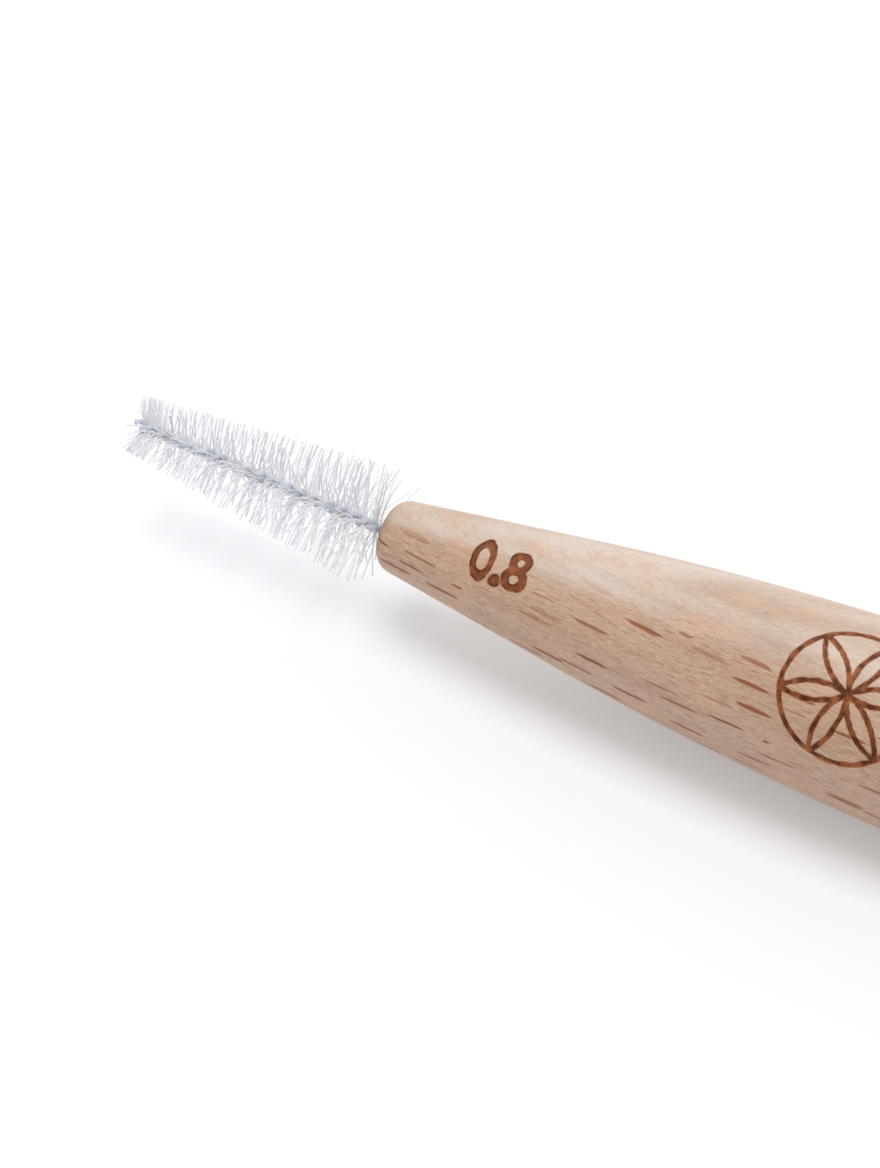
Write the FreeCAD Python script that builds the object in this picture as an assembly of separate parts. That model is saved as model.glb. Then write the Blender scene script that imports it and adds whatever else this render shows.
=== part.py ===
# Interdental brush: a twisted wire brush glued into a turned beech handle. Millimetres, +Z up.
# The handle lies level along X, with the brush tip towards -X and the butt towards +X.
# The origin is on the handle's axis, at the middle of the barrel, where the fingers hold it.

import FreeCAD
import Part
import math
import os
from FreeCAD import Vector

# Handle, turned from one blank. Lengths run along its axis, from the nose face to the butt.
nose_diameter = 3.56
taper_angle = 8.1
taper_length = 10.0
barrel_diameter = 10.1
barrel_length = 16.0
tail_length = 14.0
butt_diameter = 8.4
nose_rounding = 0.6
butt_rounding = 2.2

# Core wire, one coated wire folded double and twisted. It reaches out from the nose face to its tip.
strand_diameter = 0.28
twist_pitch = 1.56
wire_reach = 14.9
strand_stagger = 0.7
twisted_shank = 2.5
untwist_length = 0.6
leg_length = 3.0
wire_lean = 3.5

# Filaments, each gripped at its middle between the two strands and trimmed to a cone.
filament_diameter = 0.08
filament_gap = 0.012
tip_brush_diameter = 3.0
root_brush_diameter = 6.2
nose_clearance = 0.5
trim_scatter = 0.08
splay_angle = 3.0

# Fits. Glue fills the bore round the wire and stops just inside the mouth.
clamp_clearance = 0.008
glue_clearance = 0.01
glue_film = 0.12
glue_recess = 0.35
bore_end_room = 0.1
drill_point_angle = 118.0

# Counts. Wire and filaments are so thin that six flats stand for a round section.
round_sides = 6
biarcs_per_turn = 4

# Sizes that follow from those above
strand_radius = strand_diameter / 2
lay_radius = strand_radius + filament_diameter / 2 + clamp_clearance
sleeve_radius = lay_radius + strand_radius + glue_clearance
bore_radius = sleeve_radius + glue_film
legs_end = twisted_shank + untwist_length + leg_length
bore_depth = legs_end + lay_radius + strand_radius + bore_end_room
half_turn = twist_pitch / 2

half_taper = math.radians(taper_angle) / 2
taper_end_radius = nose_diameter / 2 + taper_length * math.tan(2 * half_taper)
barrel_radius = barrel_diameter / 2
barrel_start = taper_length + (barrel_radius - taper_end_radius) / math.tan(half_taper)
barrel_end = barrel_start + barrel_length
handle_length = barrel_end + tail_length

first_filament = strand_stagger - wire_reach + filament_diameter
last_filament = -nose_clearance
filament_step = filament_diameter + filament_gap
filament_count = int((last_filament - first_filament) / filament_step) + 1

x_axis = Vector(1, 0, 0)
y_axis = Vector(0, 1, 0)
tip_x = -wire_reach * math.cos(math.radians(wire_lean))
to_grip = Vector(-(barrel_start + barrel_end) / 2, 0, 0)
golden = (math.sqrt(5) - 1) / 2
same_place = 1e-4


def scatter(index, start):
    # An even spread of values from -1 to 1 that looks irregular from one filament to the next.
    return 2 * ((start + index * golden) % 1) - 1


def arc(start, corner, end):
    # The arc from start to end whose end tangents meet at the corner.
    middle = (start + end) * 0.5
    half_chord = (end - start).Length / 2
    height = (corner - middle).Length
    sagitta = half_chord * math.tan(math.atan2(height, half_chord) / 2)
    return Part.Arc(start, middle + (corner - middle) * (sagitta / height), end).toShape()


def biarc(start, start_tangent, end, end_tangent):
    # Two arcs that meet smoothly and lead from one point and direction to another.
    span = end - start
    spread = 2 * (1 - start_tangent.dot(end_tangent))
    reach = span.dot(start_tangent + end_tangent)
    arm = (math.sqrt(reach * reach + spread * span.dot(span)) - reach) / spread
    first_corner = start + start_tangent * arm
    second_corner = end - end_tangent * arm
    meeting = (first_corner + second_corner) * 0.5
    return [arc(start, first_corner, meeting), arc(meeting, second_corner, end)]


def circle_edge(solid, x, radius):
    # The round edge of a turned solid at a place along its axis.
    for edge in solid.Edges:
        curve = edge.Curve
        if isinstance(curve, Part.Circle) and abs(curve.Radius - radius) < same_place:
            if abs(curve.Center.x - x) < same_place:
                return edge


# Handle

def make_handle():
    # A straight taper runs into one long arc up to the barrel. A second arc falls away to the rounded butt.
    nose_centre = Vector(0, 0, 0)
    nose_edge = Vector(0, nose_diameter / 2, 0)
    taper_top = Vector(taper_length, taper_end_radius, 0)
    barrel_front = Vector(barrel_start, barrel_radius, 0)
    barrel_back = Vector(barrel_end, barrel_radius, 0)
    tail_end, butt_middle, butt_edge = butt_rounding_points()
    butt_centre = x_axis * handle_length
    profile = Part.Wire([
        Part.LineSegment(nose_centre, nose_edge).toShape(),
        Part.LineSegment(nose_edge, taper_top).toShape(),
        arc_beside(barrel_front, taper_top),
        Part.LineSegment(barrel_front, barrel_back).toShape(),
        arc_beside(barrel_back, tail_end),
        Part.Arc(tail_end, butt_middle, butt_edge).toShape(),
        Part.LineSegment(butt_edge, butt_centre).toShape(),
        Part.LineSegment(butt_centre, nose_centre).toShape(),
    ])
    turned = Part.Face(profile).revolve(nose_centre, x_axis, 360)
    turned = turned.makeFillet(nose_rounding, [circle_edge(turned, 0, nose_diameter / 2)])
    return turned.cut(make_bore())


def arc_beside(barrel_point, end):
    # The arc that leaves the barrel along the axis and falls away to an end point.
    chord = end - barrel_point
    corner = barrel_point + x_axis * (chord.dot(chord) / (2 * chord.x))
    return arc(barrel_point, corner, end)


def butt_rounding_points():
    # Start, middle and end of the rounding that leads from the tail's arc to the flat butt face.
    drop = barrel_radius - butt_diameter / 2
    tail_radius = (tail_length ** 2 + drop ** 2) / (2 * drop)
    tail_centre = Vector(barrel_end, barrel_radius - tail_radius, 0)
    inner_radius = tail_radius - butt_rounding
    across = tail_length - butt_rounding
    centre = tail_centre + Vector(across, math.sqrt(inner_radius ** 2 - across ** 2), 0)
    to_tail = (centre - tail_centre).normalize()
    to_middle = (to_tail + x_axis).normalize()
    return [centre + way * butt_rounding for way in (to_tail, to_middle, x_axis)]


def make_bore():
    # A drilled blind hole, which leans with the wire and ends in the drill's point.
    point_length = bore_radius / math.tan(math.radians(drill_point_angle / 2))
    hole = Part.makeCylinder(bore_radius, bore_depth + bore_radius, x_axis * -bore_radius, x_axis)
    point = Part.makeCone(bore_radius, 0, point_length, x_axis * bore_depth, x_axis)
    return leaned(hole.fuse(point))


def make_glue():
    # Set glue, a sleeve between the bore and the wire.
    length = bore_depth - glue_recess
    outer = Part.makeCylinder(bore_radius, length, x_axis * glue_recess, x_axis)
    inner = Part.makeCylinder(sleeve_radius, length, x_axis * glue_recess, x_axis)
    return leaned(outer.cut(inner))


def leaned(shape):
    # The bore was drilled a little off the handle's axis, so all that it holds leans with it.
    return shape.rotated(Vector(0, 0, 0), y_axis, wire_lean)


# Core wire

def lay_angle(x):
    # The strands wind left-handed.
    return -2 * math.pi * x / twist_pitch


def on_lay(x, angle):
    return Vector(x, lay_radius * math.cos(angle), lay_radius * math.sin(angle))


def lay_tangent(angle):
    turn = -2 * math.pi * lay_radius / twist_pitch
    return Vector(1, -turn * math.sin(angle), turn * math.cos(angle)).normalize()


def strand_path(start, phase):
    # From the cut tip along the twist, then untwisting into a straight leg.
    steps = round((twisted_shank - start) / twist_pitch * biarcs_per_turn)
    edges = []
    for step in range(steps):
        near = start + (twisted_shank - start) * step / steps
        far = start + (twisted_shank - start) * (step + 1) / steps
        near_angle = lay_angle(near) + phase
        far_angle = lay_angle(far) + phase
        edges += biarc(on_lay(near, near_angle), lay_tangent(near_angle),
                       on_lay(far, far_angle), lay_tangent(far_angle))
    twist_end = lay_angle(twisted_shank) + phase
    leg_angle = twist_end + lay_angle(untwist_length) / 2
    leg_start = on_lay(twisted_shank + untwist_length, leg_angle)
    leg_end = on_lay(legs_end, leg_angle)
    edges += biarc(on_lay(twisted_shank, twist_end), lay_tangent(twist_end), leg_start, x_axis)
    edges.append(Part.LineSegment(leg_start, leg_end).toShape())
    return edges, leg_end


def make_core_wire():
    # One tube from the longer strand's tip, down to the fold in the bore and back along the other strand.
    long_start = -wire_reach
    long_strand, long_leg = strand_path(long_start, 0)
    short_strand, short_leg = strand_path(long_start + strand_stagger, math.pi)
    fold_top = x_axis * (legs_end + lay_radius)
    fold = Part.Arc(long_leg, fold_top, short_leg).toShape()
    path = Part.Wire(long_strand + [fold] + short_strand[::-1])
    start_angle = lay_angle(long_start)
    section = flat_sided_circle(strand_radius, on_lay(long_start, start_angle), lay_tangent(start_angle))
    wire = path.makePipeShell([section], True, False)
    report_wire(path, section, wire, long_strand, short_strand)
    return leaned(wire)


def flat_sided_circle(radius, centre, direction):
    # A regular polygon that fits inside the round section it stands for.
    across = direction.cross(y_axis if abs(direction.y) < abs(direction.x) else x_axis).normalize()
    upward = direction.cross(across)
    corners = []
    for side in range(round_sides + 1):
        turn = 2 * math.pi * side / round_sides
        corners.append(centre + across * (radius * math.cos(turn)) + upward * (radius * math.sin(turn)))
    return Part.makePolygon(corners)


def report_wire(path, section, wire, long_strand, short_strand):
    # The strands' nearest approach along the twist, and the tube's volume against section times length.
    points_per_edge = 6
    long_points = [point for edge in long_strand for point in edge.discretize(points_per_edge)]
    short_points = [point for edge in short_strand for point in edge.discretize(points_per_edge)]
    nearest = min(a.distanceToPoint(b) for a in long_points for b in short_points)
    volume_ratio = wire.Volume / (Part.Face(section).Area * path.Length)
    print("least gap between the strands %.3f mm" % (nearest - strand_diameter))
    print("wire length %.1f mm, volume ratio %.4f" % (path.Length, volume_ratio))


# Filaments

def make_filament(index):
    # A straight rod through the axis, square to the line from strand to strand, with a slight splay.
    x = first_filament + index * filament_step
    share = (x - first_filament) / (last_filament - first_filament)
    angle = lay_angle(x) + math.pi / 2
    splay = math.radians(splay_angle) * scatter(index, 0)
    direction = Vector(math.sin(splay), math.cos(splay) * math.cos(angle), math.cos(splay) * math.sin(angle))
    half_length = (tip_brush_diameter + (root_brush_diameter - tip_brush_diameter) * share) / 2
    near_end = half_length + trim_scatter * scatter(index, 1 / 3)
    far_end = half_length + trim_scatter * scatter(index, 2 / 3)
    start = x_axis * x - direction * near_end
    section = flat_sided_circle(filament_diameter / 2, start, direction)
    return Part.Face(section).extrude(direction * (near_end + far_end))


def make_fans():
    # The filaments of each half turn of the twist are one fan.
    fans = {}
    for index in range(filament_count):
        fan = int(index * filament_step / half_turn) + 1
        fans.setdefault("filament_fan_%02d" % fan, []).append(leaned(make_filament(index)))
    return {name: Part.makeCompound(rods) for name, rods in fans.items()}


def main():
    os.makedirs("parts", exist_ok=True)
    nodes = {"handle": make_handle(), "glue_sleeve": make_glue(), "core_wire": make_core_wire()}
    nodes.update(make_fans())
    for name, shape in nodes.items():
        shape.translated(to_grip).exportStep("parts/%s.step" % name)
    print("handle %.1f mm long, barrel from %.1f mm" % (handle_length, barrel_start))
    print("overall %.1f mm, %d filaments, %d nodes" % (handle_length - tip_x, filament_count, len(nodes)))


main()
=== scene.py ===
import math
import random

import bpy
import numpy as np
from mathutils import Matrix, Vector


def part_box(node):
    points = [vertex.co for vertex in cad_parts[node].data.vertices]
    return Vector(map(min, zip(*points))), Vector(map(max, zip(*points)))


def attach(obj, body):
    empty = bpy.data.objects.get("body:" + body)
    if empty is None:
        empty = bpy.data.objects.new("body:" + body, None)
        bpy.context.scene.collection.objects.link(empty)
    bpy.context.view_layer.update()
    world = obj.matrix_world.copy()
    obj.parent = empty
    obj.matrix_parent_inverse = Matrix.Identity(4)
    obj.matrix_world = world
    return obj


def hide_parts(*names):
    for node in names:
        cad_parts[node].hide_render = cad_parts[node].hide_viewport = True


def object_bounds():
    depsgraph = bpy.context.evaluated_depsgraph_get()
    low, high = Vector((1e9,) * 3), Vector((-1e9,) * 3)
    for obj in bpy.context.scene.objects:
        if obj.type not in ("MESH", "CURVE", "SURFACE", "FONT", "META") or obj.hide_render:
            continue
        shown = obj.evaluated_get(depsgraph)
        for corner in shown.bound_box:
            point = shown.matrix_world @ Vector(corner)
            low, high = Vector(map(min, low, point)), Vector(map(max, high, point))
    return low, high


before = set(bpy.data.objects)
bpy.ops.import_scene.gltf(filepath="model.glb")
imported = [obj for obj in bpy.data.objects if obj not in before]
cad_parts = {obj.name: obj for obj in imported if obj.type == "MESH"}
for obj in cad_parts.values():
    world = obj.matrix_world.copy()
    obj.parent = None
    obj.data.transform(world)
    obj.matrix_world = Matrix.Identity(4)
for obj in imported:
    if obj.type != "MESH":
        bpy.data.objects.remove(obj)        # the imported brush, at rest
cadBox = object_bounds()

mm = 0.001                                  # the scene is in metres, sizes are written in millimetres
sameSpot = 0.001 * mm                       # points closer than this are merged
noseFace = Vector((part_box("handle")[0].x, 0, 0))
random.seed(7)


# Small helpers. Map Range takes 0 value, 1 and 2 from, 3 and 4 to.
# A colour Mix takes 0 share, 6 and 7 colours, and gives 2.

multiply = {"operation": "MULTIPLY"}        # node settings that come up often
smooth = {"interpolation_type": "SMOOTHSTEP"}
rgba = {"data_type": "RGBA"}


def hexColour(code):
    # sRGB hex to the linear colour that a node takes
    channels = [int(code[i:i + 2], 16) / 255 for i in (0, 2, 4)]
    return [c / 12.92 if c <= 0.04045 else ((c + 0.055) / 1.055) ** 2.4 for c in channels] + [1.0]


def addNode(tree, kind, settings, inputs):
    # one node, with its settings, its fixed inputs and its links
    node = tree.nodes.new(kind)
    for name, value in settings.items():
        setattr(node, name, value)
    for socket, value in inputs.items():
        if isinstance(value, bpy.types.NodeSocket):
            tree.links.new(value, node.inputs[socket])
        else:
            node.inputs[socket].default_value = value
    return node


def newMaterial(name):
    material = bpy.data.materials.new(name)
    material.use_nodes = True
    material.node_tree.nodes.clear()
    return material, material.node_tree


def deselectAll():
    if bpy.context.object and bpy.context.object.mode == "EDIT":
        bpy.ops.object.mode_set(mode="OBJECT")
    bpy.ops.object.select_all(action="DESELECT")


def startVertex(point):
    # a plane drawn together to one vertex, which stays selected in edit mode
    deselectAll()
    bpy.ops.mesh.primitive_plane_add(size=mm)
    bpy.ops.object.mode_set(mode="EDIT")
    bpy.ops.mesh.merge(type="CENTER")
    bpy.ops.transform.translate(value=point)
    return bpy.context.object


def drawOn(points):
    # extrude the selected vertex from point to point
    for near, far in zip(points, points[1:]):
        bpy.ops.mesh.extrude_region_move(TRANSFORM_OT_translate={"value": far - near})


def closeMesh():
    # merge the seam and turn all faces outwards
    bpy.ops.mesh.select_all(action="SELECT")
    bpy.ops.mesh.remove_doubles(threshold=sameSpot)
    bpy.ops.mesh.normals_make_consistent(inside=False)
    bpy.ops.object.mode_set(mode="OBJECT")


def finishPiece(piece, name, material, smoothAngle, slotName, *nodes):
    # shade it, name it, hide its CAD nodes and hang it under the root body in their place
    deselectAll()
    piece.select_set(True)
    bpy.context.view_layer.objects.active = piece
    bpy.ops.object.transform_apply(location=True, rotation=True, scale=True)
    bpy.ops.object.shade_smooth_by_angle(angle=math.radians(smoothAngle))
    piece.name = name
    piece.data.name = name
    if not piece.data.materials:
        piece.data.materials.append(material)
    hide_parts(*nodes)
    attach(piece, "root")


# Beech

beech = {
    "pale": "C8A68B", "tan": "BB967B",          # sanded beech and its streaks
    "highlightCream": "D6C5B6", "highlightOat": "BEA28C",         # the same, paler, where a highlight is painted on the upper side
    "blush": "D8AC8C", "paintedSheen": "DDCDBE", "pore": "94684A",      # pink patches, painted sheen as paler fine fibres, pores
    "fleck": "8A4418", "flake": "CBA083",       # rays end on and side on
    "burn": "501C05", "ember": "9A5830", "scorch": "B27A54",    # dark and paler burns, and their soft edge
    "rayTurn": 190.0, "paintedHighlightTurn": 12.0,         # degrees about X that lay the rays and the painted highlight on the upper side
    "drift": 0.35, "driftSpan": 9.0,            # how far the grain wanders, and over what length

    # millimetres along the grain, in and across it
    "streak": (14.0, 2.6, 0.8), "fibre": (0.55, 0.06, 0.06), "patch": (2.6, 1.4, 1.4),
    "char": (0.5, 0.5, 0.5), "noiseRoughness": 0.55,
    "bigRay": {"cell": (3.0, 8.0, 0.95), "halfLength": 1.05, "halfWidth": 0.10},      # one ray in each cell
    "smallRay": {"cell": (1.0, 3.0, 0.26), "halfLength": 0.34, "halfWidth": 0.03},
    "rayPoint": 3.0, "rayFlank": 1.6,           # powers that shape a ray's ends and its sides
    "rayWidths": (0.5, 1.2),                    # narrowest and widest ray, as shares of its width

    # where each mark fades in, and how strong it gets, as Map Range takes them
    "rayEdge": {1: 1.25, 2: 0.6}, "rayStrength": {1: 0.2, 2: 0.62},
    "sideFade": {1: 0.35, 2: 0.85}, "paintedHighlightFade": {1: 0.2, 2: 0.67},
    "streakFade": {1: 0.35, 2: 0.7}, "patchFade": {1: 0.55, 2: 0.75, 4: 0.5},
    "paintedSheenFade": {1: 0.46, 2: 0.25, 4: 0.6}, "poreFade": {1: 0.53, 2: 0.78},
    "poreMost": {3: 0.55, 4: 0.4}, "bigRayMost": {3: 0.92, 4: 0.3},         # end on, side on
    "smallRayMost": 0.4, "endFade": {1: 0.35, 2: 0.95, 4: 0.55},
    "bedFade": {1: 1.2, 2: 1.8, 4: 0.5}, "charFade": {1: 0.4, 2: 0.65},
    "burnFade": {1: 0.15, 2: 0.6}, "scorchFade": {1: 0.0, 2: 0.3, 4: 0.95},

    "roughness": {3: 0.39, 4: 0.55}, "gloss": {2: 0.4, 3: 0.5, 4: 0.1},     # burnt lines are duller
    "bump": 0.35, "bumpDepth": 0.02, "ior": 1.5,
}


def rayMask(tree, grain, ray):
    # Rays are thin ribbons that lie along the ray direction, so the front shows lens-shaped flecks.
    along, inward, across = ray["cell"]
    thin, thick = beech["rayWidths"]
    cells = addNode(tree, "ShaderNodeVectorMath", multiply, {
        0: grain, 1: (1 / (along * mm), 1 / (inward * mm), 1 / (across * mm))}).outputs[0]
    seeds = addNode(tree, "ShaderNodeTexVoronoi", {"voronoi_dimensions": "3D"}, {
        "Vector": cells, "Scale": 1.0}).outputs
    offset = addNode(tree, "ShaderNodeVectorMath", {"operation": "SUBTRACT"}, {
        0: cells, 1: seeds["Position"]}).outputs[0]
    offset = addNode(tree, "ShaderNodeSeparateXYZ", {}, {0: offset}).outputs
    chance = addNode(tree, "ShaderNodeSeparateColor", {}, {0: seeds["Color"]}).outputs

    # how far a point lies along the ray and beside it, as shares of the ray's own size
    lengthShare = addNode(tree, "ShaderNodeMath", multiply, {
        0: offset[0], 1: along / ray["halfLength"]}).outputs[0]
    lengthShare = addNode(tree, "ShaderNodeMath", {"operation": "ABSOLUTE"}, {0: lengthShare}).outputs[0]
    lengthShare = addNode(tree, "ShaderNodeMath", {"operation": "POWER"}, {
        0: lengthShare, 1: beech["rayPoint"]}).outputs[0]
    width = addNode(tree, "ShaderNodeMapRange", {}, {
        0: chance[0], 3: thin * ray["halfWidth"] / across, 4: thick * ray["halfWidth"] / across}).outputs[0]
    widthShare = addNode(tree, "ShaderNodeMath", {"operation": "ABSOLUTE"}, {0: offset[2]}).outputs[0]
    widthShare = addNode(tree, "ShaderNodeMath", {"operation": "DIVIDE"}, {
        0: widthShare, 1: width}).outputs[0]
    widthShare = addNode(tree, "ShaderNodeMath", {"operation": "POWER"}, {
        0: widthShare, 1: beech["rayFlank"]}).outputs[0]
    reach = addNode(tree, "ShaderNodeMath", {"operation": "ADD"}, {
        0: lengthShare, 1: widthShare}).outputs[0]
    lens = addNode(tree, "ShaderNodeMapRange", smooth, {0: reach, **beech["rayEdge"]}).outputs[0]
    strength = addNode(tree, "ShaderNodeMapRange", {}, {0: chance[1], **beech["rayStrength"]}).outputs[0]
    return addNode(tree, "ShaderNodeMath", multiply, {0: lens, 1: strength}).outputs[0]


def stretchedNoise(tree, grain, spans, detail):
    # soft noise whose grains are that many millimetres long, deep and wide
    place = addNode(tree, "ShaderNodeVectorMath", multiply, {
        0: grain, 1: [1 / (span * mm) for span in spans]}).outputs[0]
    return addNode(tree, "ShaderNodeTexNoise", {}, {
        "Vector": place, "Scale": 1.0, "Detail": detail,
        "Roughness": beech["noiseRoughness"]}).outputs["Fac"]


def beechWood():
    # Beech, turned, sanded and left bare. It is pale pinkish tan and silky, with brown ray flecks on the
    # front, broad peach flakes on top, and fine pores along the grain. A painted highlight makes the upper
    # side paler, and a painted sheen lies on fine fibres.
    material, tree = newMaterial("turnedBeech")
    coords = addNode(tree, "ShaderNodeTexCoord", {}, {}).outputs
    drift = beech["drift"] * mm
    wander = addNode(tree, "ShaderNodeTexNoise", {}, {
        "Vector": coords["Object"], "Scale": 1 / (beech["driftSpan"] * mm), "Detail": 1.0}).outputs["Color"]
    wander = addNode(tree, "ShaderNodeVectorMath", {"operation": "SUBTRACT"}, {
        0: wander, 1: (0.5, 0.5, 0.5)}).outputs[0]
    wander = addNode(tree, "ShaderNodeVectorMath", multiply, {0: wander, 1: (0.0, drift, drift)}).outputs[0]
    grain = addNode(tree, "ShaderNodeVectorMath", {"operation": "ADD"}, {
        0: coords["Object"], 1: wander}).outputs[0]
    grain = addNode(tree, "ShaderNodeMapping", {}, {
        "Vector": grain, "Rotation": (math.radians(beech["rayTurn"]), 0.0, 0.0)}).outputs[0]

    # 0 on the front and back, where rays are cut end on, and 1 on top and below, where they are cut side on
    sides = addNode(tree, "ShaderNodeSeparateXYZ", {}, {0: grain}).outputs
    inward = addNode(tree, "ShaderNodeMath", multiply, {0: sides[1], 1: sides[1]}).outputs[0]
    across = addNode(tree, "ShaderNodeMath", multiply, {0: sides[2], 1: sides[2]}).outputs[0]
    total = addNode(tree, "ShaderNodeMath", {"operation": "ADD"}, {0: inward, 1: across}).outputs[0]
    sideOn = addNode(tree, "ShaderNodeMath", {"operation": "DIVIDE"}, {0: across, 1: total}).outputs[0]
    sideOn = addNode(tree, "ShaderNodeMapRange", smooth, {0: sideOn, **beech["sideFade"]}).outputs[0]

    # 1 on the upper side only, where the overhead light's highlight is painted in paler colours
    paintedHighlightSide = addNode(tree, "ShaderNodeMapping", {}, {
        "Vector": grain, "Rotation": (math.radians(beech["paintedHighlightTurn"]), 0.0, 0.0)}).outputs[0]
    paintedHighlightSide = addNode(tree, "ShaderNodeSeparateXYZ", {}, {0: paintedHighlightSide}).outputs[2]
    paintedHighlightSide = addNode(tree, "ShaderNodeMath", {"operation": "MINIMUM"}, {0: paintedHighlightSide, 1: 0.0}).outputs[0]
    paintedHighlightSide = addNode(tree, "ShaderNodeMath", multiply, {0: paintedHighlightSide, 1: paintedHighlightSide}).outputs[0]
    paintedHighlightSide = addNode(tree, "ShaderNodeMath", {"operation": "DIVIDE"}, {0: paintedHighlightSide, 1: total}).outputs[0]
    paintedHighlightSide = addNode(tree, "ShaderNodeMapRange", smooth, {0: paintedHighlightSide, **beech["paintedHighlightFade"]}).outputs[0]

    streaks = stretchedNoise(tree, grain, beech["streak"], 2.0)
    fibres = stretchedNoise(tree, grain, beech["fibre"], 2.0)
    patches = stretchedNoise(tree, grain, beech["patch"], 1.0)
    bigRays = rayMask(tree, grain, beech["bigRay"])
    smallRays = rayMask(tree, grain, beech["smallRay"])
    streaks = addNode(tree, "ShaderNodeMapRange", {}, {0: streaks, **beech["streakFade"]}).outputs[0]
    patches = addNode(tree, "ShaderNodeMapRange", {}, {0: patches, **beech["patchFade"]}).outputs[0]
    # painted sheen: a paler colour along fine fibres of the grain
    paintedSheen = addNode(tree, "ShaderNodeMapRange", {}, {0: fibres, **beech["paintedSheenFade"]}).outputs[0]
    poreMost = addNode(tree, "ShaderNodeMapRange", {}, {0: sideOn, **beech["poreMost"]}).outputs[0]
    pores = addNode(tree, "ShaderNodeMapRange", {}, {
        0: fibres, **beech["poreFade"], 4: poreMost}).outputs[0]
    fineFlecks = addNode(tree, "ShaderNodeMath", multiply, {
        0: smallRays, 1: beech["smallRayMost"]}).outputs[0]
    bigRayMost = addNode(tree, "ShaderNodeMapRange", {}, {0: sideOn, **beech["bigRayMost"]}).outputs[0]
    flecks = addNode(tree, "ShaderNodeMath", multiply, {0: bigRays, 1: bigRayMost}).outputs[0]

    # the ends of the handle show the cut ends of the grain, which are browner
    ends = addNode(tree, "ShaderNodeSeparateXYZ", {}, {0: coords["Normal"]}).outputs[0]
    ends = addNode(tree, "ShaderNodeMath", {"operation": "ABSOLUTE"}, {0: ends}).outputs[0]
    ends = addNode(tree, "ShaderNodeMapRange", smooth, {0: ends, **beech["endFade"]}).outputs[0]

    # burnt lines, from the handle's own attribute: soft brown edge, uneven dark burn, and a paler bed
    # where a line is broad
    burn = addNode(tree, "ShaderNodeAttribute", {"attribute_name": "burn"}, {}).outputs["Fac"]
    bed = addNode(tree, "ShaderNodeMapRange", {}, {0: burn, **beech["bedFade"]}).outputs[0]
    char = stretchedNoise(tree, grain, beech["char"], 2.0)
    char = addNode(tree, "ShaderNodeMapRange", {}, {0: char, **beech["charFade"]}).outputs[0]
    char = addNode(tree, "ShaderNodeMath", {"operation": "MAXIMUM"}, {0: char, 1: bed}).outputs[0]
    burnColour = addNode(tree, "ShaderNodeMix", rgba, {
        0: char, 6: hexColour(beech["burn"]), 7: hexColour(beech["ember"])}).outputs[2]
    depth = addNode(tree, "ShaderNodeMapRange", smooth, {0: burn, **beech["burnFade"]}).outputs[0]
    burnColour = addNode(tree, "ShaderNodeMix", rgba, {
        0: depth, 6: hexColour(beech["scorch"]), 7: burnColour}).outputs[2]
    scorch = addNode(tree, "ShaderNodeMapRange", smooth, {0: burn, **beech["scorchFade"]}).outputs[0]

    # the streaked wood, then each mark over it in turn
    front = addNode(tree, "ShaderNodeMix", rgba, {
        0: streaks, 6: hexColour(beech["pale"]), 7: hexColour(beech["tan"])}).outputs[2]
    # painted highlight: the wood's paler colours for the upper side, where the overhead light falls
    top = addNode(tree, "ShaderNodeMix", rgba, {
        0: streaks, 6: hexColour(beech["highlightCream"]), 7: hexColour(beech["highlightOat"])}).outputs[2]
    rayColour = addNode(tree, "ShaderNodeMix", rgba, {
        0: sideOn, 6: hexColour(beech["fleck"]), 7: hexColour(beech["flake"])}).outputs[2]
    marks = ((patches, hexColour(beech["blush"])), (paintedSheen, hexColour(beech["paintedSheen"])),
             (pores, hexColour(beech["pore"])), (fineFlecks, rayColour), (flecks, rayColour),
             (ends, hexColour(beech["pore"])), (scorch, burnColour))
    # painted highlight: the upper side takes the paler colours
    colour = addNode(tree, "ShaderNodeMix", rgba, {0: paintedHighlightSide, 6: front, 7: top}).outputs[2]
    for share, markColour in marks:
        colour = addNode(tree, "ShaderNodeMix", rgba, {0: share, 6: colour, 7: markColour}).outputs[2]

    relief = addNode(tree, "ShaderNodeMath", {"operation": "SUBTRACT"}, {
        0: fibres, 1: smallRays}).outputs[0]
    bump = addNode(tree, "ShaderNodeBump", {}, {
        "Strength": beech["bump"], "Distance": beech["bumpDepth"] * mm, "Height": relief}).outputs[0]
    rough = addNode(tree, "ShaderNodeMapRange", {}, {0: fibres, **beech["roughness"]}).outputs[0]
    gloss = addNode(tree, "ShaderNodeMapRange", {}, {0: burn, **beech["gloss"]}).outputs[0]
    shader = addNode(tree, "ShaderNodeBsdfPrincipled", {}, {
        "Base Color": colour, "Roughness": rough, "IOR": beech["ior"], "Specular IOR Level": gloss,
        "Normal": bump})
    addNode(tree, "ShaderNodeOutputMaterial", {}, {"Surface": shader.outputs[0]})
    return material


# Handle

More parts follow.
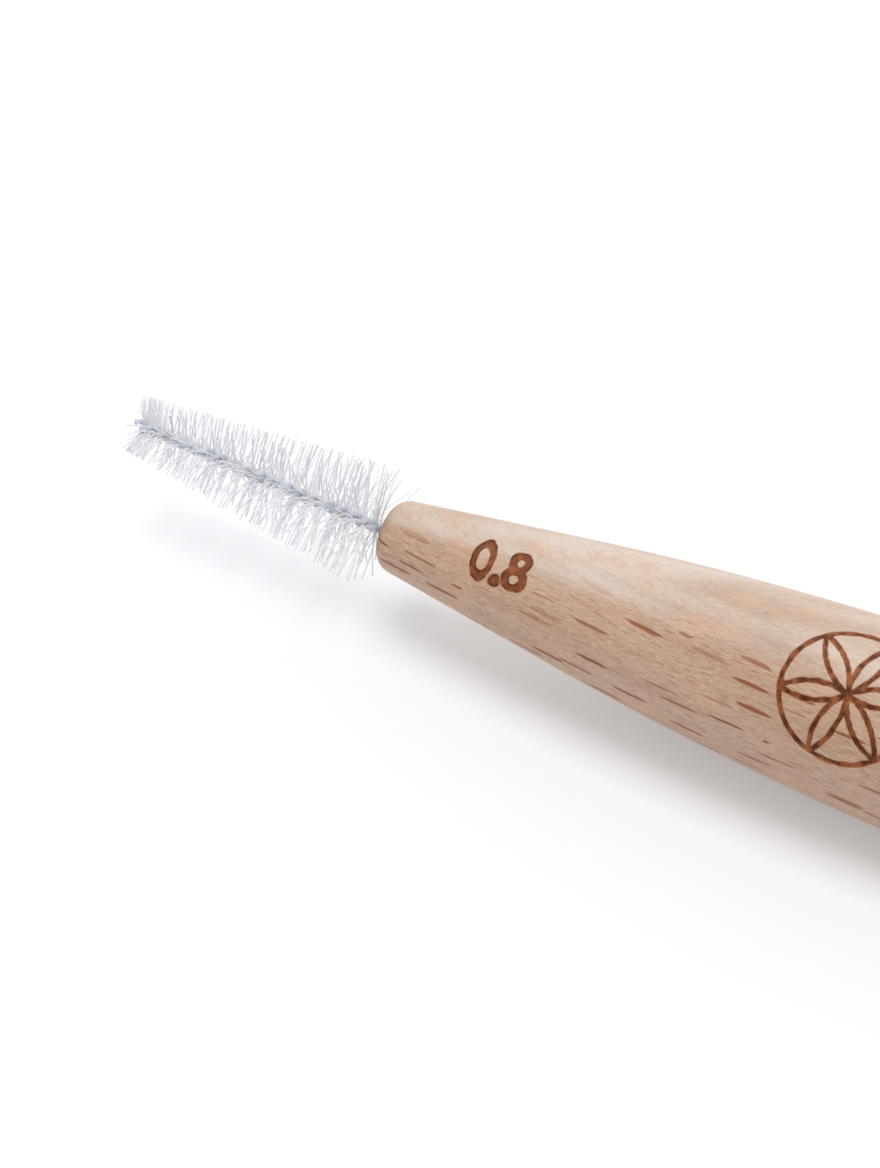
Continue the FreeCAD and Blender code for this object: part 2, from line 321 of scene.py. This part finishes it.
handle = {
    "noseDiameter": 3.56, "taperAngle": 8.1, "taperLength": 10.0,
    "barrelDiameter": 10.1, "barrelLength": 16.0, "tailLength": 14.0, "buttDiameter": 8.4,
    "noseRounding": 0.95, "buttRounding": 2.2, "boreRadius": 0.458, "boreDepth": 6.0,
    "ring": 1.3, "fineRing": 0.065, "roundSteps": 9,            # spacing of the rings
    "fineStart": 75.0, "fineTurn": 100.0,                       # degrees of the close lines under the marks
    "fineSteps": 120, "plainSteps": 60, "smoothAngle": 40,
    "scorchEdge": 1.35, "sinkEdge": 1.2, "sinkSlope": 0.7,      # of a burnt line, in halves of its width
    "shake": ((0.13, 5.3, 3.7), (0.09, 11.0, -8.2)),            # its shaky edge: size, waves along, around
}
burntMarks = {
    "size": {
        "place": 7.2, "turn": 123.0, "reach": 2.1, "lineWidth": 0.36, "depth": 0.07,
        "gain": 2.2, "most": 2.0,               # how fast the burn darkens from a line's edge, and how far
        "loops": ((-1.05, 0, 0.48, 0.86), (0.95, 0.42, 0.40, 0.42), (0.95, -0.44, 0.50, 0.44)),
        "point": (-0.1, -0.82, 0.12),           # loops: centre, half width and height; point: centre, radius
    },
    "rosette": {
        "place": 26.6, "turn": 125.0, "reach": 3.9, "lineWidth": 0.25, "depth": 0.05,
        "gain": 1.0, "most": 1.0, "radius": 3.45, "petals": 6, "firstPetal": 12.0,
    },
}


def arcPoints(centre, radius, startAngle, endAngle, steps):
    angles = [startAngle + (endAngle - startAngle) * step / steps for step in range(steps + 1)]
    return [(centre[0] + radius * math.cos(a), centre[1] + radius * math.sin(a)) for a in angles]


def turnedOutline():
    # (place, radius) along the handle from the bore's mouth to the middle of the butt, in millimetres
    taper = math.radians(handle["taperAngle"])
    noseRadius = handle["noseDiameter"] / 2
    barrelRadius = handle["barrelDiameter"] / 2
    taperEnd = noseRadius + handle["taperLength"] * math.tan(taper)
    barrelStart = handle["taperLength"] + (barrelRadius - taperEnd) / math.tan(taper / 2)
    barrelEnd = barrelStart + handle["barrelLength"]
    swell = (barrelStart - handle["taperLength"]) / math.sin(taper)          # radius of the long arc
    drop = barrelRadius - handle["buttDiameter"] / 2
    tailRadius = (handle["tailLength"] ** 2 + drop ** 2) / (2 * drop)

    def radiusAt(place):
        if place < handle["taperLength"]:
            return noseRadius + place * math.tan(taper)
        if place < barrelStart:
            return barrelRadius - swell + math.sqrt(swell ** 2 - (barrelStart - place) ** 2)
        if place < barrelEnd:
            return barrelRadius
        return barrelRadius - tailRadius + math.sqrt(tailRadius ** 2 - (place - barrelEnd) ** 2)

    rounding = handle["noseRounding"]
    noseCentre = (rounding, noseRadius + rounding * math.tan(taper) - rounding / math.cos(taper))
    points = [(0, handle["boreRadius"]), (0, (handle["boreRadius"] + noseCentre[1]) / 2)]
    points += arcPoints(noseCentre, rounding, math.pi, math.pi / 2 + taper, handle["roundSteps"])

    buttRounding = handle["buttRounding"]
    across = handle["tailLength"] - buttRounding
    rise = math.sqrt((tailRadius - buttRounding) ** 2 - across ** 2)
    buttCentre = (barrelEnd + across, barrelRadius - tailRadius + rise)
    roundingStart = math.atan2(rise, across)
    tailEnd = buttCentre[0] + buttRounding * math.cos(roundingStart)

    place = points[-1][0]
    while place < tailEnd - handle["ring"]:
        fine = any(abs(place - mark["place"]) < mark["reach"] + handle["ring"]
                   for mark in burntMarks.values())
        place += handle["fineRing"] if fine else handle["ring"]
        points.append((place, radiusAt(place)))
    points += arcPoints(buttCentre, buttRounding, roundingStart, 0, handle["roundSteps"])
    points.append((points[-1][0], points[-1][1] / 2))
    points.append((points[-1][0], 0))
    return points


def sizeStrokes(mark, u, v):
    # distance to the strokes of the plain size number, 0.8: three loops and a point
    pointU, pointV, pointRadius = mark["point"]
    nearest = np.maximum(np.hypot(u - pointU, v - pointV) - pointRadius, 0)
    for centreU, centreV, wide, tall in mark["loops"]:
        du, dv = (u - centreU) / wide, (v - centreV) / tall
        nearest = np.minimum(nearest, np.abs(np.hypot(du, dv) - 1) * (wide + tall) / 2)
    return nearest


def rosetteStrokes(mark, u, v):
    # distance to the lines of a six-petal compass rosette in its circle
    radius = mark["radius"]
    fromCentre = np.hypot(u, v)
    nearest = np.abs(fromCentre - radius)
    for petal in range(mark["petals"]):
        turn = math.radians(360 / mark["petals"] * petal + mark["firstPetal"])
        arc = np.abs(np.hypot(u - radius * math.cos(turn), v - radius * math.sin(turn)) - radius)
        nearest = np.minimum(nearest, np.where(fromCentre < radius, arc, radius))
    return nearest


def burnMarks(piece):
    # sink the burnt lines into the wood, and keep how deep each point is burnt for the material
    mesh = piece.data
    points = np.empty(len(mesh.vertices) * 3)
    mesh.vertices.foreach_get("co", points)
    points = points.reshape(-1, 3)
    place = (points[:, 0] - noseFace.x) / mm
    radius = np.hypot(points[:, 1], points[:, 2]) / mm
    turn = np.arctan2(points[:, 2], points[:, 1])
    burn = np.zeros(len(points))
    sink = np.zeros(len(points))
    slope = handle["sinkSlope"]
    for name, strokes in (("size", sizeStrokes), ("rosette", rosetteStrokes)):
        mark = burntMarks[name]
        along = place - mark["place"]
        around = radius * (math.radians(mark["turn"]) - turn)
        away = strokes(mark, along, around) / (mark["lineWidth"] / 2)
        away += sum(size * np.sin(waves * along + slant * around) for size, waves, slant in handle["shake"])
        near = np.hypot(along, around) < mark["reach"] + mark["lineWidth"]
        near &= radius > handle["noseDiameter"] / 2
        burnt = np.clip(mark["gain"] * (handle["scorchEdge"] - away), 0, mark["most"])
        sunk = mark["depth"] * np.clip(handle["sinkEdge"] - away, 0, slope) / slope
        burn = np.maximum(burn, np.where(near, burnt, 0))
        sink = np.maximum(sink, np.where(near, sunk, 0))
    scale = (radius - sink) / np.maximum(radius, 1e-6)      # the butt's middle has no radius to divide by
    points[:, 1:] *= scale[:, None]
    mesh.vertices.foreach_set("co", points.ravel())
    mesh.attributes.new("burn", "FLOAT", "POINT").data.foreach_set("value", burn)
    mesh.update()


def makeHandle(wood):
    # the outline is spun as on a lathe, in close steps where the marks are and wider ones elsewhere
    start = math.radians(handle["fineStart"])
    outline = [noseFace + Vector((x, r * math.cos(start), r * math.sin(start))) * mm
               for x, r in turnedOutline()]
    piece = startVertex(outline[0])
    drawOn(outline)
    bpy.ops.mesh.select_all(action="SELECT")
    fineTurn = math.radians(handle["fineTurn"])
    for steps, turn in ((handle["fineSteps"], fineTurn), (handle["plainSteps"], 2 * math.pi - fineTurn)):
        bpy.ops.mesh.spin(steps=steps, angle=turn, center=(0, 0, 0), axis=(-1, 0, 0))
    bpy.ops.mesh.select_all(action="SELECT")
    bpy.ops.mesh.remove_doubles(threshold=sameSpot)

    # the bore goes in from the open rim of the nose face and leans with the wire
    bpy.ops.mesh.select_all(action="DESELECT")
    bpy.ops.mesh.select_mode(type="EDGE")
    bpy.ops.mesh.select_non_manifold()
    bore = leanedWay(Vector((handle["boreDepth"] * mm, 0, 0))) - noseFace
    bpy.ops.mesh.extrude_edges_move(TRANSFORM_OT_translate={"value": bore})
    bpy.ops.mesh.edge_face_add()
    bpy.ops.mesh.select_mode(type="VERT")
    closeMesh()
    burnMarks(piece)
    finishPiece(piece, "turnedHandle", wood, handle["smoothAngle"], "beech", "handle")
    print("handle turned:", len(piece.data.polygons), "faces")


# Core wire

wire = {
    "strandDiameter": 0.28, "layRadius": 0.188, "pitch": 1.56, "reach": 14.6, "stagger": 0.4,
    "twistedShank": 2.5, "untwist": 0.6, "leg": 3.0, "lean": 3.5, "coat": 0.035,
    "pointsPerTurn": 20, "easeSteps": 6, "foldSteps": 8, "roundSteps": 4, "smoothAngle": 50,
    "lavender": "D2D7DF", "slate": "B6BECA", "mottle": 0.6,     # the coat and its clouds
    "bump": 0.2, "bumpDepth": 0.01, "roughness": 0.32, "ior": 1.5,
    "steel": "A6A8AB", "scratch": 0.04, "cutRoughness": {3: 0.25, 4: 0.5},
}


def leanedWay(point):
    # a place beside the wire's own axis, with its lean, in the row frame
    return noseFace + Matrix.Rotation(math.radians(wire["lean"]), 3, "Y") @ point


def layAngle(x):
    return -2 * math.pi * x / wire["pitch"]       # the strands wind left-handed


def onLay(x, angle):
    return Vector((x, wire["layRadius"] * math.cos(angle), wire["layRadius"] * math.sin(angle)))


def strandPoints(start, phase):
    # from the cut tip along the twist, then easing into a straight leg in the bore
    shank = wire["twistedShank"]
    steps = round((shank - start) / wire["pitch"] * wire["pointsPerTurn"])
    points = []
    for step in range(steps + 1):
        x = start + (shank - start) * step / steps
        points.append(onLay(x, layAngle(x) + phase))
    for step in range(1, wire["easeSteps"] + 1):
        share = step / wire["easeSteps"]
        turned = layAngle(shank) + phase + layAngle(wire["untwist"]) * (share - share * share / 2)
        points.append(onLay(shank + wire["untwist"] * share, turned))
    points.append(points[-1] + Vector((wire["leg"], 0, 0)))
    return points


def coatedWire():
    # Stainless wire in a thin polymer coat: pale lavender grey and satin, with a soft highlight on each
    # strand.
    material, tree = newMaterial("coatedWire")
    coords = addNode(tree, "ShaderNodeTexCoord", {}, {}).outputs
    mottle = addNode(tree, "ShaderNodeTexNoise", {}, {
        "Vector": coords["Object"], "Scale": 1 / (wire["mottle"] * mm), "Detail": 2.0}).outputs["Fac"]
    colour = addNode(tree, "ShaderNodeMix", rgba, {
        0: mottle, 6: hexColour(wire["lavender"]), 7: hexColour(wire["slate"])}).outputs[2]
    bump = addNode(tree, "ShaderNodeBump", {}, {
        "Strength": wire["bump"], "Distance": wire["bumpDepth"] * mm, "Height": mottle}).outputs[0]
    shader = addNode(tree, "ShaderNodeBsdfPrincipled", {}, {
        "Base Color": colour, "Roughness": wire["roughness"], "IOR": wire["ior"], "Normal": bump})
    addNode(tree, "ShaderNodeOutputMaterial", {}, {"Surface": shader.outputs[0]})
    return material


def cutSteel():
    # Stainless steel, sheared at the tip: bright, with fine scratches across the cut.
    material, tree = newMaterial("shearedSteel")
    coords = addNode(tree, "ShaderNodeTexCoord", {}, {}).outputs
    scratches = addNode(tree, "ShaderNodeTexNoise", {}, {
        "Vector": coords["Object"], "Scale": 1 / (wire["scratch"] * mm), "Detail": 2.0}).outputs["Fac"]
    rough = addNode(tree, "ShaderNodeMapRange", {}, {0: scratches, **wire["cutRoughness"]}).outputs[0]
    shader = addNode(tree, "ShaderNodeBsdfPrincipled", {}, {
        "Base Color": hexColour(wire["steel"]), "Metallic": 1.0, "Roughness": rough})
    addNode(tree, "ShaderNodeOutputMaterial", {}, {"Surface": shader.outputs[0]})
    return material


def makeWire(coat, steel):
    # one wire from the longer strand's tip down to the fold in the bore and back up the other strand
    longer = strandPoints(-wire["reach"], 0)
    shorter = strandPoints(wire["stagger"] - wire["reach"], math.pi)
    middle = (longer[-1] + shorter[-1]) / 2
    side = longer[-1] - middle
    fold = []
    for step in range(1, wire["foldSteps"]):
        turn = math.pi * step / wire["foldSteps"]
        fold.append(middle + side * math.cos(turn) + Vector((side.length * math.sin(turn), 0, 0)))
    route = [leanedWay(point * mm) for point in longer + fold + shorter[::-1]]

    deselectAll()
    bpy.ops.curve.primitive_nurbs_path_add()
    piece = bpy.context.object
    curve = piece.data
    curve.splines.clear()
    line = curve.splines.new("POLY")
    line.points.add(len(route) - 1)
    for point, place in zip(line.points, route):
        point.co = (*place, 1)
    curve.bevel_depth = wire["strandDiameter"] / 2 * mm
    curve.bevel_resolution = wire["roundSteps"]
    curve.use_fill_caps = True
    bpy.ops.object.convert(target="MESH")
    piece = bpy.context.object
    bpy.ops.object.mode_set(mode="EDIT")
    closeMesh()

    # the two cut ends, the only faces with more than four corners, show the steel inside its coat
    piece.data.materials.clear()
    piece.data.materials.append(coat)
    piece.data.materials.append(steel)
    bpy.ops.object.mode_set(mode="EDIT")
    bpy.ops.mesh.select_all(action="DESELECT")
    bpy.ops.object.mode_set(mode="OBJECT")
    for face in piece.data.polygons:
        face.select = len(face.vertices) > 4
    bpy.ops.object.mode_set(mode="EDIT")
    bpy.ops.mesh.select_mode(type="FACE")
    bpy.ops.mesh.inset(thickness=wire["coat"] * mm)
    piece.active_material_index = 1
    bpy.ops.object.material_slot_assign()
    bpy.ops.mesh.select_mode(type="VERT")
    bpy.ops.object.mode_set(mode="OBJECT")
    finishPiece(piece, "twistedWire", coat, wire["smoothAngle"], "coated_wire", "core_wire")
    print("wire twisted:", len(piece.data.polygons), "faces")


# Filaments

brush = {
    "thickness": 0.07, "sides": 5, "segments": 6, "step": 0.12, "perPlace": 3, "smoothAngle": 80,
    "turnSpread": 44.0, "turnScatter": 22.0,        # degrees each side of the spiral, even and by chance
    "firstGap": 0.08, "noseClearance": 0.5,
    "tipDiameter": 3.1, "rootDiameter": 6.35, "trimScatter": 0.06,
    "tipLean": -15.0, "leanFade": 3,                # degrees towards the tip, and how soon that is lost
    "splay": 4.0, "bow": 0.05,                      # by chance, in degrees and millimetres
    "looseLength": 1.8, "looseSplay": 12.0, "looseBow": 0.7,    # the last ones before the nose stand freely
    "tipClump": 26, "clumpTurn": 50.0, "clumpSpread": 20.0, "clumpLength": 0.8,     # bunched at the tip
    "white": "F0EFF1", "shade": "E6E5E8", "cloud": 0.8, "roughness": 0.3, "ior": 1.5,
    "blur": 0.05,                                   # how far light wanders inside
    "shadeEvery": 3,                                # thin nylon passes light on, so one fan in three shades
}


def nylonFilament():
    # Nylon monofilament, drawn and cut: thin, glossy and milky. Light wanders inside it, so it looks white
    # with soft grey edges.
    material, tree = newMaterial("nylonFilament")
    coords = addNode(tree, "ShaderNodeTexCoord", {}, {}).outputs
    cloud = addNode(tree, "ShaderNodeTexNoise", {}, {
        "Vector": coords["Object"], "Scale": 1 / (brush["cloud"] * mm), "Detail": 1.0}).outputs["Fac"]
    colour = addNode(tree, "ShaderNodeMix", rgba, {
        0: cloud, 6: hexColour(brush["white"]), 7: hexColour(brush["shade"])}).outputs[2]
    shader = addNode(tree, "ShaderNodeBsdfPrincipled", {}, {
        "Base Color": colour, "Roughness": brush["roughness"], "IOR": brush["ior"],
        "Subsurface Weight": 1.0, "Subsurface Radius": (1.0, 1.0, 1.0),
        "Subsurface Scale": brush["blur"] * mm})
    addNode(tree, "ShaderNodeOutputMaterial", {}, {"Surface": shader.outputs[0]})
    return material


def makeRod():
    # one straight filament, two units long, closed at both ends
    deselectAll()
    bpy.ops.mesh.primitive_circle_add(vertices=brush["sides"], radius=1.0, location=(0, 0, -1))
    bpy.ops.object.mode_set(mode="EDIT")
    for segment in range(brush["segments"]):
        bpy.ops.mesh.extrude_edges_move(TRANSFORM_OT_translate={"value": (0, 0, 2 / brush["segments"])})
    bpy.ops.mesh.select_all(action="SELECT")
    bpy.ops.mesh.fill_holes(sides=brush["sides"])
    closeMesh()
    bpy.ops.object.transform_apply(location=True, rotation=True, scale=True)
    return bpy.context.object


def bendRod(unit, root, outward, halves):
    # lay a copy of the rod's points through the wire, each half with its own length, lean and bow
    axis = Vector((1, 0, 0))
    side = axis.cross(outward)
    radius = brush["thickness"] / 2
    points = []
    for across, along, share in unit:
        length, lean, bow, sway = halves[share > 0]
        reach = abs(share) * length
        way = outward if share > 0 else -outward
        centre = root + way * (reach * math.cos(lean))
        centre += axis * (reach * math.sin(lean) + bow * share * share)
        centre += side * (sway * share * share)
        points.append(leanedWay((centre + axis * (across * radius) + side * (along * radius)) * mm))
    return np.array(points)


def filamentHalves(halfLength, share, loose):
    # length, lean, bow and sway of a filament's two halves
    splay = brush["splay"] + loose * brush["looseSplay"]
    bend = brush["bow"] + loose * brush["looseBow"]
    tipLean = brush["tipLean"] * (1 - share) ** brush["leanFade"]
    halves = []
    for half in range(2):
        lean = math.radians(tipLean + random.uniform(-splay, splay))
        length = halfLength + random.uniform(-1, 1) * brush["trimScatter"]
        halves.append((length, lean, random.uniform(-bend, bend), random.uniform(-bend, bend)))
    return halves


def makeFans(nylon):
    # every filament is gripped at its middle between the strands, so together they stand as a spiral fan
    rod = makeRod()
    unit = [tuple(vertex.co) for vertex in rod.data.vertices]
    first = wire["stagger"] - wire["reach"] + brush["firstGap"]
    last = -brush["noseClearance"]
    count = int((last - first) / brush["step"]) + 1
    seats = []          # fan, place along the wire, angle round it
    for index in range(count):
        fan = int(index * brush["step"] / (wire["pitch"] / 2)) + 1
        for layer in range(brush["perPlace"]):
            x = first + (index + layer / brush["perPlace"]) * brush["step"]
            turn = (2 * layer / (brush["perPlace"] - 1) - 1) * brush["turnSpread"]
            turn += random.uniform(-1, 1) * brush["turnScatter"]
            seats.append((fan, x, layAngle(x) + math.pi / 2 + math.radians(turn)))
    for index in range(brush["tipClump"]):
        turn = brush["clumpTurn"] + random.uniform(-1, 1) * brush["clumpSpread"]
        seats.append((1, first + random.random() * brush["clumpLength"], math.radians(turn)))

    fans = {}
    for fan, x, angle in seats:
        share = (x - first) / (last - first)
        outward = Vector((0, math.cos(angle), math.sin(angle)))
        halfLength = (brush["tipDiameter"] + (brush["rootDiameter"] - brush["tipDiameter"]) * share) / 2
        loose = max(0.0, 1 - (last - x) / brush["looseLength"])
        halves = filamentHalves(halfLength, share, loose)
        copy = rod.copy()
        copy.data = rod.data.copy()
        copy.data.vertices.foreach_set("co", bendRod(unit, Vector((x, 0, 0)), outward, halves).ravel())
        bpy.context.collection.objects.link(copy)
        fans.setdefault(fan, []).append(copy)
    bpy.data.objects.remove(rod)
    for number, rods in fans.items():
        deselectAll()
        for copy in rods:
            copy.select_set(True)
        bpy.context.view_layer.objects.active = rods[0]
        bpy.ops.object.join()
        rods[0].visible_shadow = number % brush["shadeEvery"] == 0
        finishPiece(rods[0], "filamentFan%02d" % number, nylon, brush["smoothAngle"], "nylon",
                    "filament_fan_%02d" % number)
    print("filaments set:", len(seats), "in", len(fans), "fans")


# Glue

glue = {
    "outerRadius": 0.456, "innerRadius": 0.335, "rim": 0.16, "climb": 0.22, "depth": 5.8,
    "hollow": (0.32, 0.34), "hollowRadii": (0.42, 0.38),        # the two corners of its sunken mouth
    "steps": 48, "smoothAngle": 40,
    "amber": "D9C08A", "ripple": 0.15, "bump": 0.3, "bumpDepth": 0.02,
    "roughness": 0.15, "ior": 1.48, "clear": 0.5,
}


def setGlue():
    # Clear wood glue, set hard in the bore: pale amber and shiny where it creeps up the wire.
    material, tree = newMaterial("setGlue")
    coords = addNode(tree, "ShaderNodeTexCoord", {}, {}).outputs
    ripple = addNode(tree, "ShaderNodeTexNoise", {}, {
        "Vector": coords["Object"], "Scale": 1 / (glue["ripple"] * mm), "Detail": 1.0}).outputs["Fac"]
    bump = addNode(tree, "ShaderNodeBump", {}, {
        "Strength": glue["bump"], "Distance": glue["bumpDepth"] * mm, "Height": ripple}).outputs[0]
    shader = addNode(tree, "ShaderNodeBsdfPrincipled", {}, {
        "Base Color": hexColour(glue["amber"]), "Roughness": glue["roughness"], "IOR": glue["ior"],
        "Transmission Weight": glue["clear"], "Normal": bump})
    addNode(tree, "ShaderNodeOutputMaterial", {}, {"Surface": shader.outputs[0]})
    return material


def makeGlue(material):
    # a sleeve round the wire whose mouth is drawn up at the wire and at the bore
    outline = [(glue["rim"], glue["outerRadius"]), *zip(glue["hollow"], glue["hollowRadii"]),
               (glue["climb"], glue["innerRadius"]), (glue["depth"], glue["innerRadius"]),
               (glue["depth"], glue["outerRadius"]), (glue["rim"], glue["outerRadius"])]
    points = [leanedWay(Vector((x, 0, r)) * mm) for x, r in outline]
    piece = startVertex(points[0])
    drawOn(points)
    bpy.ops.mesh.select_all(action="SELECT")
    axis = leanedWay(Vector((1, 0, 0))) - noseFace
    bpy.ops.mesh.spin(steps=glue["steps"], angle=2 * math.pi, center=noseFace, axis=axis)
    closeMesh()
    finishPiece(piece, "glueSleeve", material, glue["smoothAngle"], "set_glue", "glue_sleeve")
    print("glue set:", len(piece.data.polygons), "faces")


# Studio

studio = {
    "azimuth": 28.5, "elevation": 45.0, "distance": 300.0, "lens": 185.0, "sensor": 36.0, "nearest": 10.0,
    "aimRight": 2.61, "aimDown": 2.62,          # middle of the picture from the nose, in its plane
    "floorSize": 3000.0, "floor": "F8F9FA", "floorGlow": 0.28,
    "sky": "F8FAFF", "skyLight": 0.54, "white": (1, 1, 1, 1),
    "keyLight": {"way": (-20.0, 40.0, 560.0), "spread": 36.0, "power": 1.6},    # soft boxes, degrees across
    "backLight": {"way": (60.0, 420.0, 260.0), "spread": 60.0, "power": 0.55},
}


def seenRays(tree):
    # 1 for what the picture shows, directly, mirrored or through a clear thing, and 0 for light on things
    rays = addNode(tree, "ShaderNodeLightPath", {}, {}).outputs
    seen = addNode(tree, "ShaderNodeMath", {"operation": "ADD"}, {
        0: rays["Is Camera Ray"], 1: rays["Is Glossy Ray"]}).outputs[0]
    return addNode(tree, "ShaderNodeMath", {"operation": "ADD", "use_clamp": True}, {
        0: seen, 1: rays["Is Transmission Ray"]}).outputs[0]


def makeStudio():
    azimuth, elevation = math.radians(studio["azimuth"]), math.radians(studio["elevation"])
    right = Vector((math.cos(azimuth), math.sin(azimuth), 0))
    toCamera = Vector((math.sin(azimuth) * math.cos(elevation), -math.cos(azimuth) * math.cos(elevation),
                       math.sin(elevation)))
    up = toCamera.cross(right)
    aim = noseFace + (right * studio["aimRight"] - up * studio["aimDown"]) * mm
    bpy.ops.object.camera_add(location=aim + toCamera * studio["distance"] * mm,
                              rotation=toCamera.to_track_quat("Z", "Y").to_euler())
    camera = bpy.context.object
    camera.data.sensor_fit = "VERTICAL"
    camera.data.sensor_height = studio["sensor"]
    camera.data.lens = studio["lens"]
    camera.data.clip_start = studio["nearest"] * mm
    bpy.context.scene.camera = camera

    # white paper, dull, which shows a little paler than the light on it and keeps the shadow
    bpy.ops.mesh.primitive_plane_add(size=studio["floorSize"] * mm, location=(0, 0, cadBox[0][2]))
    floor = bpy.context.object
    floor.name = "floor"
    material, tree = newMaterial("whitePaper")
    paper = addNode(tree, "ShaderNodeBsdfDiffuse", {}, {"Color": hexColour(studio["floor"])})
    glow = addNode(tree, "ShaderNodeEmission", {}, {"Color": studio["white"]})
    share = addNode(tree, "ShaderNodeMath", multiply, {0: seenRays(tree), 1: studio["floorGlow"]})
    both = addNode(tree, "ShaderNodeMixShader", {}, {
        0: share.outputs[0], 1: paper.outputs[0], 2: glow.outputs[0]})
    addNode(tree, "ShaderNodeOutputMaterial", {}, {"Surface": both.outputs[0]})
    floor.data.materials.append(material)

    # the room is seen as plain white, and its light on things is softer
    world = bpy.data.worlds.new("whiteRoom")
    world.use_nodes = True
    tree = world.node_tree
    tree.nodes.clear()
    light = addNode(tree, "ShaderNodeBackground", {}, {
        "Color": hexColour(studio["sky"]), "Strength": studio["skyLight"]})
    white = addNode(tree, "ShaderNodeBackground", {}, {"Color": studio["white"], "Strength": 1.0})
    both = addNode(tree, "ShaderNodeMixShader", {}, {
        0: seenRays(tree), 1: light.outputs[0], 2: white.outputs[0]})
    addNode(tree, "ShaderNodeOutputWorld", {}, {"Surface": both.outputs[0]})
    bpy.context.scene.world = world

    for lamp in (studio["keyLight"], studio["backLight"]):
        way = Vector(lamp["way"])
        bpy.ops.object.light_add(type="SUN", location=way * mm,
                                 rotation=way.to_track_quat("Z", "Y").to_euler())
        softBox = bpy.context.object.data
        softBox.angle = math.radians(lamp["spread"])
        softBox.energy = lamp["power"]
    bpy.context.scene.view_settings.view_transform = "Standard"
    print("studio ready")


deselectAll()
makeStudio()
makeHandle(beechWood())
makeWire(coatedWire(), cutSteel())
makeFans(nylonFilament())
makeGlue(setGlue())
